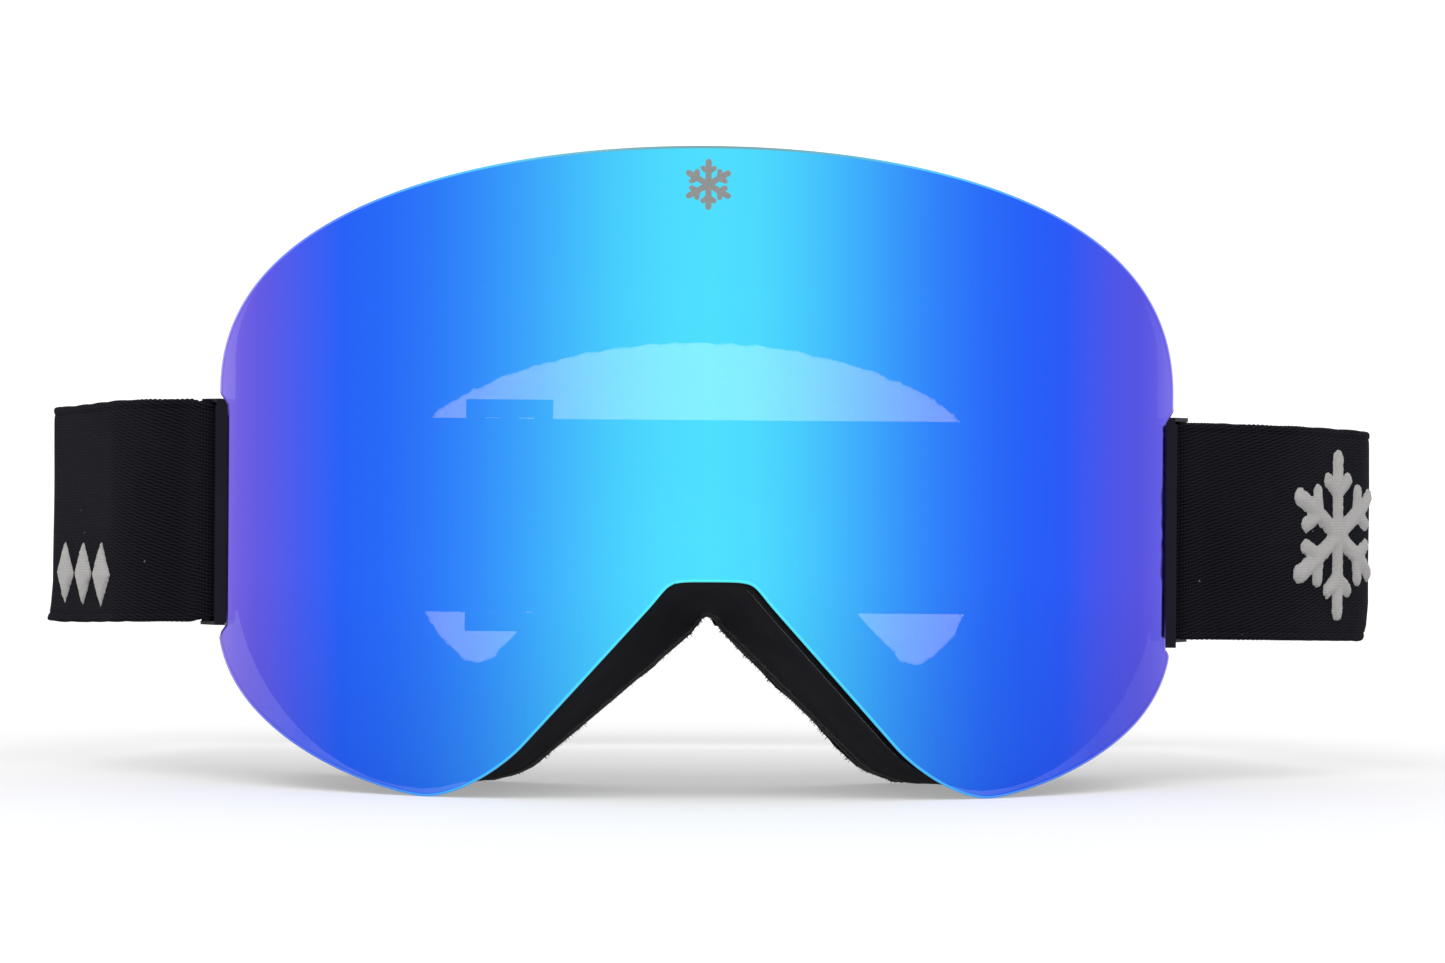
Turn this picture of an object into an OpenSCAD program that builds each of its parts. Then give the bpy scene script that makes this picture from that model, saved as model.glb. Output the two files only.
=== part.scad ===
// Frameless ski goggles with a magnetic cylindrical double lens, a vented
// skirt, three-layer face foam, hinged strap arms and an adjustable strap.
// The lens faces -Y and +Z is up; left and right are as seen from the front, with
// +X to the right. The goggles stand on the lobes of the lens and of the face
// foam, with Z = 0 at the floor.

/* [Lens] */
// Width of the outer lens, edge to edge
lens_w = 175.2; // [170:0.2:180]
// Height of the outer lens, lobes to brow
lens_h = 113.3; // [110:0.1:118]
// Radius of the outer lens, about an upright axis
lens_r = 98; // [96:1:104]
// Thickness of the outer lens
lens_t = 1.6; // [1.2:0.1:2]
// Thickness of the inner lens
inner_t = 0.8; // [0.6:0.1:1]
// Air gap between the two lenses
lens_gap = 2.8; // [2.4:0.1:3.2]
// Depth of the notch that clears each strap arm
notch_d = 1.6; // [0.8:0.1:1.8]

/* [Frame] */
// Thickness of the front bezel
bezel_t = 4; // [3:0.1:4.4]
// Width of the bezel's ring, seen from the front
bezel_w = 8; // [7:0.1:9]
// Thickness of the moulded skirt
skirt_t = 1.6; // [1.2:0.1:2]
// Radius of the surface that meets the face
face_r = 84; // [80:1:88]
// Depth of that surface behind the lens at the nose
face_depth = 51; // [48:0.5:54]
// Thicknesses of the base foam, middle foam and fleece
foam_t = [6, 6, 3];

/* [Strap] */
// Width of the elastic strap
strap_w = 40; // [36:1:42]
// Thickness of one layer of strap
strap_t = 2; // [1.5:0.1:2.2]
// Heights of the left and right arm's middle above the floor
strap_z = [49.2, 47]; // [46:0.1:50]
// How far the strap's side bends stand out from the middle, left and right
reach = [122.5, 131]; // [116:0.5:136]
// Angle at which the strap enters each side bend, back from straight sideways
front_angle = [66, 50]; // [40:1:70]
// Depth of the whole object, lens to sliders
loop_d = 180; // [176:1:190]
// Where the left slider sits along the rear strap
left_slider_x = -35; // [-60:1:-30]
// Where the right slider sits along the rear strap
right_slider_x = 73; // [40:1:76]

/* [Hinges] */
// Distance of each hinge pin from the middle of the lens
pin_x = 88; // [87.6:0.1:89]
// Depth of each hinge pin behind the lens
pin_d = 69.5; // [69:0.1:71]
// Radius of each hinge pin
pin_r = 1.5; // [1.2:0.1:1.6]
// Radius of the knuckles around it
knuckle_r = 2.6; // [2.4:0.1:2.6]

/* [Hidden] */

$fn = 96;
big = 400;
front_y = -loop_d / 2;
lens_gap_to_bezel = 0.4;
carrier_t = 1.8;
carrier_edge = 1.2;
inner_edge = 8.5;
spacer_w = 3;
bezel_r = lens_r - lens_t - carrier_t - lens_gap_to_bezel;
face_axis = face_depth + face_r;
middle_r = face_r + foam_t[2];
base_r = middle_r + foam_t[1];
flange_r = base_r + foam_t[0];

// Each outline is one set of keys: top, upper side, lower side, lobe, nose
// flank and nose arch, with the length of every curve's handles.
// [top z, handle], [side x, z, handle], [z, handle], [lobe x, z, outer handle,
// inner handle], [flank x, z, handle], [flank x, z, handle], [arch z, handle]
half_w = lens_w / 2;
LENS = [[lens_h, 47], [half_w, 72, 28.6], [28.8, 20.4], [49.5, 0, 6.1, 6],
    [32.3, 9.3, 5], [11.2, 32.8, 7], [38, 8.5]];
BEZEL = [[lens_h - 0.6, 46.8], [half_w - 2.7, 78, 21.2], [37.5, 17],
    [49.5, 1.1, 19, 6], [31.8, 9.2, 5], [10.8, 32.2, 6.8], [37.2, 8.3]];
WAIST = [[107.5, 45], [80.5, 70, 26], [36, 19], [49, 0.8, 14, 7],
    [31, 6.5, 4], [8.6, 30.4, 4], [35, 5.5]];
FACE = [[103, 43], [76, 66, 25], [34, 22], [48, 0, 8, 8],
    [28.9, 4.2, 5], [3, 28, 1.4], [31, 1.2]];
APERTURE = [[81, 30], [52.5, 62, 7], [40, 9], [40.5, 21.5, 5, 4],
    [35.5, 24.6, 2.5], [13, 46.5, 5], [52.5, 6.5]];

// Points on a cubic curve, without its last point.
function curve(a, b, c, d, n) = [for (i = [0:n - 1]) let (t = i / n, s = 1 - t)
    s * s * s * a + 3 * s * s * t * b + 3 * s * t * t * c + t * t * t * d];

// The right half of an outline, from the brow to the nose arch.
function half(k) = let (
        top = [0, k[0][0]],
        high = [k[1][0], k[1][1]],
        low = [k[1][0], k[2][0]],
        lobe = [k[3][0], k[3][1]],
        f = [k[4][0], k[4][1]],
        g = [k[5][0], k[5][1]],
        arch = [0, k[6][0]],
        u = (g - f) / norm(g - f))
    concat(
        curve(top, top + [k[0][1], 0], high + [0, k[1][2]], high, 20),
        curve(high, high, low, low, 3),
        curve(low, low - [0, k[2][1]], lobe + [k[3][2], 0], lobe, 12),
        curve(lobe, lobe - [k[3][3], 0], f - u * k[4][2], f, 6),
        curve(f, f, g, g, 3),
        curve(g, g + u * k[5][2], arch + [k[6][1], 0], arch, 6),
        [arch]);

// The whole outline, one point list for every ring.
function ring(k) = let (h = half(k), n = len(h))
    concat(h, [for (i = [n - 2:-1:1]) [-h[i][0], h[i][1]]]);

count = len(ring(LENS));

// A point moved inwards by w along the outline's own normal.
function inward(p, i, w) = let (
        t = p[(i + 1) % count] - p[(i + count - 1) % count],
        n = [t[1], -t[0]] / norm(t))
    p[i] + n * w;

// Depth of an upright cylinder's near surface at a given x.
function depth_at(axis, r, x) = axis - sqrt(r * r - x * x);

// ---------------------------------------------------------------- helpers

// Solid between two upright cylinders that share an axis.
module shell(axis, r_out, r_in) {
    translate([0, front_y + axis, -10])
        difference() {
            cylinder(r = r_out, h = 140, $fn = 96);
            translate([0, 0, -1])
                cylinder(r = r_in, h = 142, $fn = 96);
            translate([-big / 2, 0, -1])
                cube([big, big, 142]);
        }
}

// A front outline pushed through the full depth.
module through() {
    translate([0, big / 2, 0])
        rotate([90, 0, 0])
            linear_extrude(big)
                children();
}

// Outline grown or, with a negative step, shrunk.
module shape(k, step = 0) {
    if (step == 0)
        polygon(ring(k));
    else
        offset(delta = step)
            polygon(ring(k));
}

module band_between(k_out, step_out, k_in, step_in) {
    difference() {
        shape(k_out, step_out);
        shape(k_in, step_in);
    }
}

module mirrored(side) {
    mirror([side < 0 ? 1 : 0, 0, 0])
        children();
}

// Plan shape at (x, depth) pushed up from z0 to z1.
module upright(z0, z1) {
    translate([0, front_y, z0])
        linear_extrude(z1 - z0)
            children();
}

// ------------------------------------------------------------------ lens

function pick(pair, side) = pair[side < 0 ? 0 : 1];
function mid_z(side) = pick(strap_z, side);

notch_down = [20.6, 22];
notch_up = 19.8;
notch_slope = 3;
function notch_z(side) = [mid_z(side) - pick(notch_down, side),
    mid_z(side) + notch_up];

module notch(side) {
    x0 = half_w - notch_d;
    z = notch_z(side);
    mirrored(side)
        polygon([[x0, z[0]], [x0, z[1]],
            [half_w + 1, z[1] + notch_slope],
            [half_w + 1, z[0] - notch_slope]]);
}

module outer_lens() {
    color([0.16, 0.55, 1])
        intersection() {
            shell(lens_r, lens_r, lens_r - lens_t);
            through()
                difference() {
                    shape(LENS);
                    notch(1);
                    notch(-1);
                }
        }
}

module lens_spacer() {
    color([0.12, 0.12, 0.13])
        intersection() {
            shell(lens_r, lens_r - lens_t, lens_r - lens_t - lens_gap);
            through()
                band_between(BEZEL, -inner_edge, BEZEL, -inner_edge - spacer_w);
        }
}

module inner_lens() {
    r = lens_r - lens_t - lens_gap;
    color([0.55, 0.6, 0.66])
        intersection() {
            shell(lens_r, r, r - inner_t);
            through()
                shape(BEZEL, -inner_edge);
        }
}

// Magnets sit along the ring's middle line at these outline points.
magnet_at = [4, 14, 21, 29];
magnet_inset = 4.5;
magnet = [8, 3, 1.4];
magnet_slip = 0.05;

// One block on the cylinder of radius r, turned to follow the ring.
module magnet_block(i, r, grow) {
    p = ring(BEZEL);
    q = inward(p, i, magnet_inset);
    t = p[i + 1] - p[i - 1];
    tilt = atan2(t[1], t[0]);
    turn = asin(q[0] / r);
    translate([0, front_y + lens_r, q[1]])
        rotate([0, 0, turn])
            translate([0, -r - grow, 0])
                rotate([0, -tilt, 0])
                    translate([-magnet[0] / 2 - grow, 0, -magnet[1] / 2 - grow])
                        cube([magnet[0] + 2 * grow, magnet[2] + 2 * grow,
                            magnet[1] + 2 * grow]);
}

module magnets(r, grow = 0) {
    for (side = [1, -1], i = magnet_at)
        mirrored(side)
            magnet_block(i, r, grow);
}

lens_magnet_r = lens_r - lens_t - 0.25;
frame_magnet_r = bezel_r - 0.25;

module lens_carrier() {
    r = lens_r - lens_t;
    color([0.06, 0.06, 0.07])
        difference() {
            intersection() {
                shell(lens_r, r, r - carrier_t);
                through()
                    band_between(BEZEL, -carrier_edge, BEZEL, -bezel_w + 0.2);
            }
            magnets(lens_magnet_r, magnet_slip);
        }
}

module lens_magnets() {
    color([0.75, 0.76, 0.78])
        magnets(lens_magnet_r);
}

// ----------------------------------------------------------------- frame

module front_bezel() {
    color([0.05, 0.05, 0.06])
        difference() {
            intersection() {
                shell(lens_r, bezel_r, bezel_r - bezel_t);
                through()
                    band_between(BEZEL, 0, BEZEL, -bezel_w);
            }
            magnets(frame_magnet_r, magnet_slip);
        }
}

module frame_magnets() {
    color([0.75, 0.76, 0.78])
        magnets(frame_magnet_r);
}

// The skirt is a loft: its outer and inner surfaces are grids of points, one
// row per level, from the bezel to the flange that carries the foam.
wall_levels = 6;
flange_levels = 5;
last_level = wall_levels + flange_levels;
flange_reach = 0.62;
foam_slip = 0.26;
back_r = bezel_r - bezel_t - 0.05;
seat_edge = 1.3;

function mix(a, b, t) = a * (1 - t) + b * t;

// Front outline of level t, from bezel (0) over the waist to the face (1).
function level_ring(t, inset) = let (
        a = ring(BEZEL),
        m = ring(WAIST),
        b = ring(FACE),
        from = [for (i = [0:count - 1]) inward(a, i, seat_edge + inset)],
        mid = [for (i = [0:count - 1]) inward(m, i, inset)],
        to = [for (i = [0:count - 1]) inward(b, i, 1 + inset)])
    [for (i = [0:count - 1]) t < 0.5 ? mix(from[i], mid[i], 2 * t)
        : mix(mid[i], to[i], 2 * t - 1)];

function flange_ring(t) = let (
        a = level_ring(1, 0),
        b = ring(APERTURE),
        c = [for (i = [0:count - 1]) mix(a[i], b[i], flange_reach)])
    [for (i = [0:count - 1]) mix(a[i], c[i], t)];
function flange_level(j) = flange_ring((j - wall_levels) / flange_levels);

function wall_depth(x, t, back) = mix(depth_at(lens_r, back_r, x),
    depth_at(face_axis, flange_r + back, x), t);

function lift(p, d) = [p[0], front_y + d, p[1]];

// Outer surface: wall levels, then the flange's back face.
function outer_row(j) = j <= wall_levels
    ? let (t = j / wall_levels, r = level_ring(t, 0))
        [for (p = r) lift(p, wall_depth(p[0], t, foam_slip))]
    : [for (p = flange_level(j))
        lift(p, depth_at(face_axis, flange_r + foam_slip, p[0]))];

// Inner surface: the same levels one skirt thickness further in.
function inner_row(j) = j <= wall_levels
    ? let (t = j / wall_levels, r = level_ring(t, skirt_t))
        [for (p = r) lift(p, wall_depth(p[0], t, skirt_t * t + foam_slip))]
    : [for (p = flange_level(j))
        lift(p, depth_at(face_axis, flange_r + skirt_t + foam_slip, p[0]))];

// Vents: pairs of columns open in the middle levels, along brow and lobes.
function is_vent(i, j) = let (m = i < count / 2 ? i : count - 1 - i)
    j >= 2 && j <= 3 && (m == 2 || m == 3 || m == 5 || m == 6 || m == 8
        || m == 9 || m == 11 || m == 12 || m == 28 || m == 29
        || m == 31 || m == 32);

function at(surface, i, j) = surface * count * (last_level + 1)
    + j * count + i % count;

function quad(a, b, c, d) = [[a, c, b], [a, d, c]];

// Faces of one cell: two skins if solid, or the walls of its vent.
function cell(i, j) = !is_vent(i, j)
    ? concat(
        quad(at(0, i, j), at(0, i + 1, j), at(0, i + 1, j + 1), at(0, i, j + 1)),
        quad(at(1, i, j), at(1, i, j + 1), at(1, i + 1, j + 1), at(1, i + 1, j)))
    : concat(
        is_vent(i, j - 1) ? []
            : quad(at(0, i, j), at(0, i + 1, j), at(1, i + 1, j), at(1, i, j)),
        is_vent(i, j + 1) ? []
            : quad(at(0, i, j + 1), at(1, i, j + 1), at(1, i + 1, j + 1),
                at(0, i + 1, j + 1)),
        is_vent((i + count - 1) % count, j) ? []
            : quad(at(0, i, j), at(1, i, j), at(1, i, j + 1), at(0, i, j + 1)),
        is_vent((i + 1) % count, j) ? []
            : quad(at(0, i + 1, j), at(0, i + 1, j + 1), at(1, i + 1, j + 1),
                at(1, i + 1, j)));

function rim(j, front) = [for (i = [0:count - 1], f = front
    ? quad(at(0, i, j), at(1, i, j), at(1, i + 1, j), at(0, i + 1, j))
    : quad(at(0, i, j), at(0, i + 1, j), at(1, i + 1, j), at(1, i, j))) f];

module skirt() {
    points = concat(
        [for (j = [0:last_level], p = outer_row(j)) p],
        [for (j = [0:last_level], p = inner_row(j)) p]);
    faces = concat(
        [for (j = [0:last_level - 1], i = [0:count - 1], f = cell(i, j)) f],
        rim(0, true),
        rim(last_level, false));
    color([0.08, 0.08, 0.09])
        polyhedron(points, faces);
}

// Thin open-cell strips that lie behind the vents.
strip_t = 3;
strip_edge = 4;
strip_r = [flange_r + skirt_t + 0.6, flange_r + skirt_t + 14];

module vent_strip(x0, x1, z0, z1) {
    color([0.1, 0.1, 0.11])
        intersection() {
            shell(face_axis, strip_r[1], strip_r[0]);
            through()
                intersection() {
                    band_between(FACE, -strip_edge, FACE, -strip_edge - strip_t);
                    translate([x0, z0])
                        square([x1 - x0, z1 - z0]);
                }
        }
}

module top_vent_foam() {
    vent_strip(-64, 64, 70, 110);
}

module left_vent_foam() {
    vent_strip(-72, -46, 0, 20);
}

module right_vent_foam() {
    vent_strip(46, 72, 0, 20);
}

module foam_layer(r_in, r_out, edge, hole, tint) {
    color(tint)
        intersection() {
            shell(face_axis, r_out, r_in);
            through()
                band_between(FACE, -edge, APERTURE, hole);
        }
}

module base_foam() {
    foam_layer(base_r, flange_r, 0.8, 0.8, [0.13, 0.13, 0.14]);
}

module middle_foam() {
    foam_layer(middle_r, base_r, 0.3, 0.3, [0.17, 0.17, 0.18]);
}

module fleece_liner() {
    foam_layer(face_r, middle_r, 0, 0, [0.09, 0.09, 0.1]);
}

// ---------------------------------------------------------------- hinges

bracket_h = 30;
knuckle_gap = 0.25;
arm_slip = 0.05;
bracket_d = [59, 73];
bracket_t = 1.3;
side_x = half_w - 2.65;
loop_slip = 0.1;
plate_t = 0.7;
arm_h = strap_w + 2 * (loop_slip + plate_t);

// Bottom and top of something h high, at the height of one side's arm.
function around_mid(side, h) = [mid_z(side) - h / 2, mid_z(side) + h / 2];

// Upright round bar about the pin's axis.
module on_pin(side, r, z) {
    translate([pin_x, front_y + pin_d, z[0]])
        cylinder(r = r, h = z[1] - z[0], $fn = 48);
}

// Bracket on the bezel's side: a plate with one long knuckle for the pin.
module bracket(side) {
    z = around_mid(side, bracket_h);
    color([0.06, 0.06, 0.07])
        mirrored(side)
            difference() {
                union() {
                    upright(z[0], z[1])
                        translate([side_x, bracket_d[0]])
                            square([bracket_t, bracket_d[1] - bracket_d[0]]);
                    upright(z[0], z[1])
                        translate([side_x, pin_d - knuckle_r])
                            square([pin_x - side_x, 2 * knuckle_r]);
                    on_pin(side, knuckle_r, z);
                }
                on_pin(side, pin_r, around_mid(side, arm_h + 10));
            }
}

module left_bracket() {
    bracket(-1);
}

module right_bracket() {
    bracket(1);
}

// Hinge pin, pressed into the bracket and just short of the arm's end plates.
pin_short = 0.2;

module hinge_pin(side) {
    color([0.7, 0.71, 0.73])
        mirrored(side)
            on_pin(side, pin_r, around_mid(side, arm_h - 2 * pin_short));
}

module left_hinge_pin() {
    hinge_pin(-1);
}

module right_hinge_pin() {
    hinge_pin(1);
}

// Arm: two end plates with a knuckle each, the bar which the strap runs round,
// and a wall in front of the bar whose strip fills the lens's notch.
bar_x = pin_x + 2;
bar_d = pin_d - 6.5;
bar_r = 1.2;
wall_x = [86.6, 88.4];
wall_d = [58.2, 59.2];
front_x = 85.9;
front_d = 55.4;
front_lap = 0.4;
front_gap = 0.3;

module wall_plan() {
    translate([wall_x[0], wall_d[0]])
        square([wall_x[1] - wall_x[0], wall_d[1] - wall_d[0]]);
}

module arm_plate() {
    hull() {
        translate([bar_x, bar_d])
            circle(r = bar_r + 0.2, $fn = 32);
        translate([pin_x, pin_d])
            circle(r = knuckle_r, $fn = 32);
        wall_plan();
    }
}

module arm(side) {
    z = around_mid(side, arm_h);
    k = around_mid(side, bracket_h + 2 * knuckle_gap);
    n = notch_z(side);
    color([0.05, 0.05, 0.06])
        mirrored(side)
            difference() {
                union() {
                    for (low = [z[0], z[1] - plate_t])
                        upright(low, low + plate_t)
                            arm_plate();
                    on_pin(side, knuckle_r, [z[0], k[0]]);
                    on_pin(side, knuckle_r, [k[1], z[1]]);
                    upright(min(z[0], n[0] + front_gap), z[1])
                        wall_plan();
                    upright(n[0] + front_gap, n[1] - front_gap)
                        translate([front_x, front_d])
                            square([wall_x[1] - front_x,
                                wall_d[0] + front_lap - front_d]);
                    translate([bar_x, front_y + bar_d, z[0]])
                        cylinder(r = bar_r, h = arm_h, $fn = 48);
                }
                on_pin(side, pin_r + arm_slip, around_mid(side, arm_h + 10));
            }
}

module left_arm() {
    arm(-1);
}

module right_arm() {
    arm(1);
}

// ----------------------------------------------------------------- strap

// The route of the doubled strap's middle, in plan, for one side: nearly straight
// out from the arm's bar, curving back into the side bend, then straight back and
// round the rear. Each side has a route of its own, as the strap lies unevenly.
layer = strap_t / 2 + 0.05;
lead_angle = 12;
lead_r = [18, 40];
side_angle = 108;
bend_r = [10, 16];
corner_r = 22;
close_up = 5;
bar_t = 1.8;
slip = 0.3;
rear_d = loop_d - bar_t - slip - 2 * layer + 0.05;

// Unit vectors along a heading and to the outside of it.
function along(a) = [cos(a), sin(a)];
function outside(a) = [sin(a), -cos(a)];

function lead_c(side) = [bar_x, bar_d] + close_up * along(lead_angle)
    - pick(lead_r, side) * outside(lead_angle);
function bend_c(side) = let (
        a = pick(front_angle, side),
        r = pick(bend_r, side),
        from = lead_c(side) + pick(lead_r, side) * outside(a),
        x = pick(reach, side) - 2 * layer + 0.05 - r,
        run = (x + r * sin(a) - from[0]) / cos(a))
    [x, from[1] + run * sin(a) + r * cos(a)];
function corner_x(side) = let (
        out = bend_c(side) + pick(bend_r, side) * outside(side_angle),
        run = (rear_d - corner_r - corner_r * cos(side_angle) - out[1])
            / sin(side_angle))
    out[0] + run * cos(side_angle) - corner_r * sin(side_angle);

function arc(c, r, a0, a1, n) = [for (i = [0:n])
    let (a = a0 + (a1 - a0) * i / n) c + r * [cos(a), sin(a)]];

// Offset k puts a layer outside (+) or inside (-) the route.
function side_run(side, k, turns = 8) = concat(
    arc(lead_c(side), pick(lead_r, side) + k,
        lead_angle - 90, pick(front_angle, side) - 90, turns),
    arc(bend_c(side), pick(bend_r, side) + k,
        pick(front_angle, side) - 90, side_angle - 90, turns),
    arc([corner_x(side), rear_d - corner_r], corner_r + k,
        side_angle - 90, 90, turns));

// From the bar outwards: the layer leaves the bar's side and closes up.
bar_wrap = bar_r + loop_slip + strap_t / 2;
function off_bar(k) = [for (t = [0, 0.25, 0.5, 0.75])
    [bar_x, bar_d] + along(lead_angle) * close_up * t + outside(lead_angle)
        * sign(k) * mix(bar_wrap, abs(k), (1 - cos(180 * t)) / 2)];

around_bar = arc([bar_x, bar_d], bar_wrap, lead_angle + 105, lead_angle + 255, 10);

// Left and right borders of a ribbon that follows a path.
function border(path, w) = [for (i = [0:len(path) - 1]) let (
        a = path[max(i - 1, 0)],
        b = path[min(i + 1, len(path) - 1)],
        t = (b - a) / norm(b - a))
    path[i] + w * [-t[1], t[0]]];

function backwards(list) = [for (i = [len(list) - 1:-1:0]) list[i]];

module ribbon(path, middle) {
    upright(middle - strap_w / 2, middle + strap_w / 2)
        polygon(concat(border(path, strap_t / 2),
            backwards(border(path, -strap_t / 2))));
}

// The arm's strap ends on a circle about the pin, and the rest starts on a
// slightly larger one, so that the two never meet as the arm swings.
cut_r = 56;
cut_gap = 1;
rear_z = (strap_z[0] + strap_z[1]) / 2;

module about_pin(r) {
    translate([pin_x, front_y + pin_d, 0])
        cylinder(r = r, h = 110, $fn = 96);
}

module arm_strap(side) {
    color([0.05, 0.05, 0.06])
        mirrored(side)
            intersection() {
                ribbon(concat(backwards(side_run(side, -layer)),
                    backwards(off_bar(-layer)), around_bar,
                    off_bar(layer), side_run(side, layer)), mid_z(side));
                about_pin(cut_r);
            }
}

module left_strap() {
    arm_strap(-1);
}

module right_strap() {
    arm_strap(1);
}

module rear_strap() {
    right = side_run(1, layer);
    left = [for (p = backwards(side_run(-1, layer))) [-p[0], p[1]]];
    color([0.05, 0.05, 0.06])
        difference() {
            ribbon(concat(right, left), rear_z);
            about_pin(cut_r + cut_gap);
            mirrored(-1)
                about_pin(cut_r + cut_gap);
        }
}

// The layer inside, from the side bend to the slider's middle bar.
module inner_strap(side, end_x) {
    color([0.05, 0.05, 0.06])
        mirrored(side)
            difference() {
                ribbon(concat(side_run(side, -layer), [[end_x, rear_d - layer]]),
                    rear_z);
                about_pin(cut_r + cut_gap);
            }
}

module left_inner_strap() {
    inner_strap(-1, -left_slider_x);
}

module right_inner_strap() {
    inner_strap(1, right_slider_x);
}

// --------------------------------------------------------------- sliders

slider_w = 18;
slider_h = 48;
slider_bar = 4;
stack = 2 * layer - 0.05 + slip;

module slider(x) {
    color([0.07, 0.07, 0.08])
        translate([x, front_y + rear_d, rear_z]) {
            for (s = [-1, 1]) {
                translate([0, 0, s * (slider_h / 2 + strap_w / 2 + slip) / 2])
                    cube([slider_w, 2 * (stack + bar_t),
                        slider_h / 2 - strap_w / 2 - slip], center = true);
                translate([s * (slider_w - slider_bar) / 2, stack + bar_t / 2, 0])
                    cube([slider_bar, bar_t, slider_h], center = true);
            }
            translate([0, -stack - bar_t / 2, 0])
                cube([slider_bar, bar_t, slider_h], center = true);
        }
}

module left_slider() {
    slider(left_slider_x);
}

module right_slider() {
    slider(right_slider_x);
}

outer_lens();
lens_spacer();
inner_lens();
lens_carrier();
lens_magnets();
front_bezel();
frame_magnets();
skirt();
top_vent_foam();
left_vent_foam();
right_vent_foam();
base_foam();
middle_foam();
fleece_liner();
left_bracket();
right_bracket();
left_hinge_pin();
right_hinge_pin();
left_arm();
right_arm();
left_strap();
right_strap();
rear_strap();
left_inner_strap();
right_inner_strap();
left_slider();
right_slider();
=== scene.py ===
import math
import random
from functools import partial

import bmesh
import bpy
import numpy as np
from mathutils import Matrix, Vector, noise


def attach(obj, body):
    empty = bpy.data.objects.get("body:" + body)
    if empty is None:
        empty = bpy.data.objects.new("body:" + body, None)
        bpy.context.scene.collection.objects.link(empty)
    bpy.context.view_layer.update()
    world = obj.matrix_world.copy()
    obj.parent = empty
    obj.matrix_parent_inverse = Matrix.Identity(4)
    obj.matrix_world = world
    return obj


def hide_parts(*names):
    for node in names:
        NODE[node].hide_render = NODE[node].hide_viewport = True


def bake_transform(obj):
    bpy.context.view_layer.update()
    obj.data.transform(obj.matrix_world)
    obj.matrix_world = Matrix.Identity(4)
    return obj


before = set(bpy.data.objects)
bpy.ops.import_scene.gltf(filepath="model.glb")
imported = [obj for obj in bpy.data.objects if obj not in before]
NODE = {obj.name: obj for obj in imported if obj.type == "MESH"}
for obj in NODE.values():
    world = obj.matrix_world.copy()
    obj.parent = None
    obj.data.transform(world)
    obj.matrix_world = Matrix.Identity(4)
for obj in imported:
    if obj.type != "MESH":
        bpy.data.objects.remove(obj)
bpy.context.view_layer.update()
MM = 0.001
FRONT = -90.0

# ------------------------------------------------------------------ outlines
# The same keys as the CAD outlines: top, side, lower side, lobe, nose flank,
# nose flank and nose arch, each with the length of its curve's handles.
LENS = [[113.3, 47], [87.6, 72, 28.6], [28.8, 20.4], [49.5, 0, 6.1, 6],
        [32.3, 9.3, 5], [11.2, 32.8, 7], [38, 8.5]]
BEZEL = [[112.7, 46.8], [84.9, 78, 21.2], [37.5, 17], [49.5, 1.1, 19, 6],
         [31.8, 9.2, 5], [10.8, 32.2, 6.8], [37.2, 8.3]]
WAIST = [[107.5, 45], [80.5, 70, 26], [36, 19], [49, 0.8, 14, 7],
         [31, 6.5, 4], [8.6, 30.4, 4], [35, 5.5]]
FACE = [[103, 43], [76, 66, 25], [34, 22], [48, 0, 8, 8],
        [28.9, 4.2, 5], [3, 28, 1.4], [31, 1.2]]
APERTURE = [[81, 30], [52.5, 62, 7], [40, 9], [40.5, 21.5, 5, 4],
            [35.5, 24.6, 2.5], [13, 46.5, 5], [52.5, 6.5]]
CURVES = (20, 3, 12, 6, 3, 6)
LENS_R, LENS_T, BACK_R, FACE_AXIS = 98.0, 1.6, 90.15, 135.0
FACE_R, MIDDLE_R, BASE_R, FLANGE_R = 84.0, 87.0, 93.0, 99.0
ARM_Z = {"left": 49.2, "right": 47.0}
REAR_Z = 48.1
LENS_LEAN = 0.55    # how far the lens's lower edge and nose notch stand to one side


def curve(a, b, c, d, n):
    a, b, c, d = (np.array(p, float) for p in (a, b, c, d))
    t = (np.arange(n) / n)[:, None]
    s = 1 - t
    return s**3 * a + 3 * s * s * t * b + 3 * s * t * t * c + t**3 * d


def ring(k, fine, side=1):
    """Closed front outline, clockwise from the brow; side multiplies its straight side."""
    top, arch = np.array([0, k[0][0]]), np.array([0, k[6][0]])
    high, low = np.array([k[1][0], k[1][1]]), np.array([k[1][0], k[2][0]])
    lobe, f, g = (np.array(k[i][:2], float) for i in (3, 4, 5))
    u = (g - f) / np.linalg.norm(g - f)
    x, z = np.array([1.0, 0]), np.array([0, 1.0])
    n = [c * fine for c in CURVES]
    h = np.concatenate([
        curve(top, top + x * k[0][1], high + z * k[1][2], high, n[0]),
        curve(high, high, low, low, n[1] * side),
        curve(low, low - z * k[2][1], lobe + x * k[3][2], lobe, n[2]),
        curve(lobe, lobe - x * k[3][3], f - u * k[4][2], f, n[3]),
        curve(f, f, g, g, n[4]),
        curve(g, g + u * k[5][2], arch + x * k[6][1], arch, n[5]),
        [arch]])
    return np.concatenate([h, h[-2:0:-1] * [-1, 1]])


def lean(p):
    """The soft nose notch leans a little to one side, most at its top."""
    up = np.clip((p[:, 1] - 3) / 24, 0, 1)
    near = np.clip((34 - np.abs(p[:, 0])) / 12, 0, 1)
    out = p.copy()
    out[:, 0] += 1.5 * up * near * (p[:, 1] < 45)
    return out


def inward(p, w):
    """The outline moved in by w along its own normal."""
    t = np.roll(p, -1, 0) - np.roll(p, 1, 0)
    n = np.stack([t[:, 1], -t[:, 0]], 1)
    return p + w * n / np.linalg.norm(n, axis=1)[:, None]


def depth_at(axis, r, x):
    return axis - np.sqrt(r * r - x * x)


def place(x, depth, z):
    """Millimetres to the part's own frame in metres."""
    return np.stack([np.asarray(x, float), FRONT + np.asarray(depth, float),
                     np.asarray(z, float) + 0 * np.asarray(x, float)], -1) * MM


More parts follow.
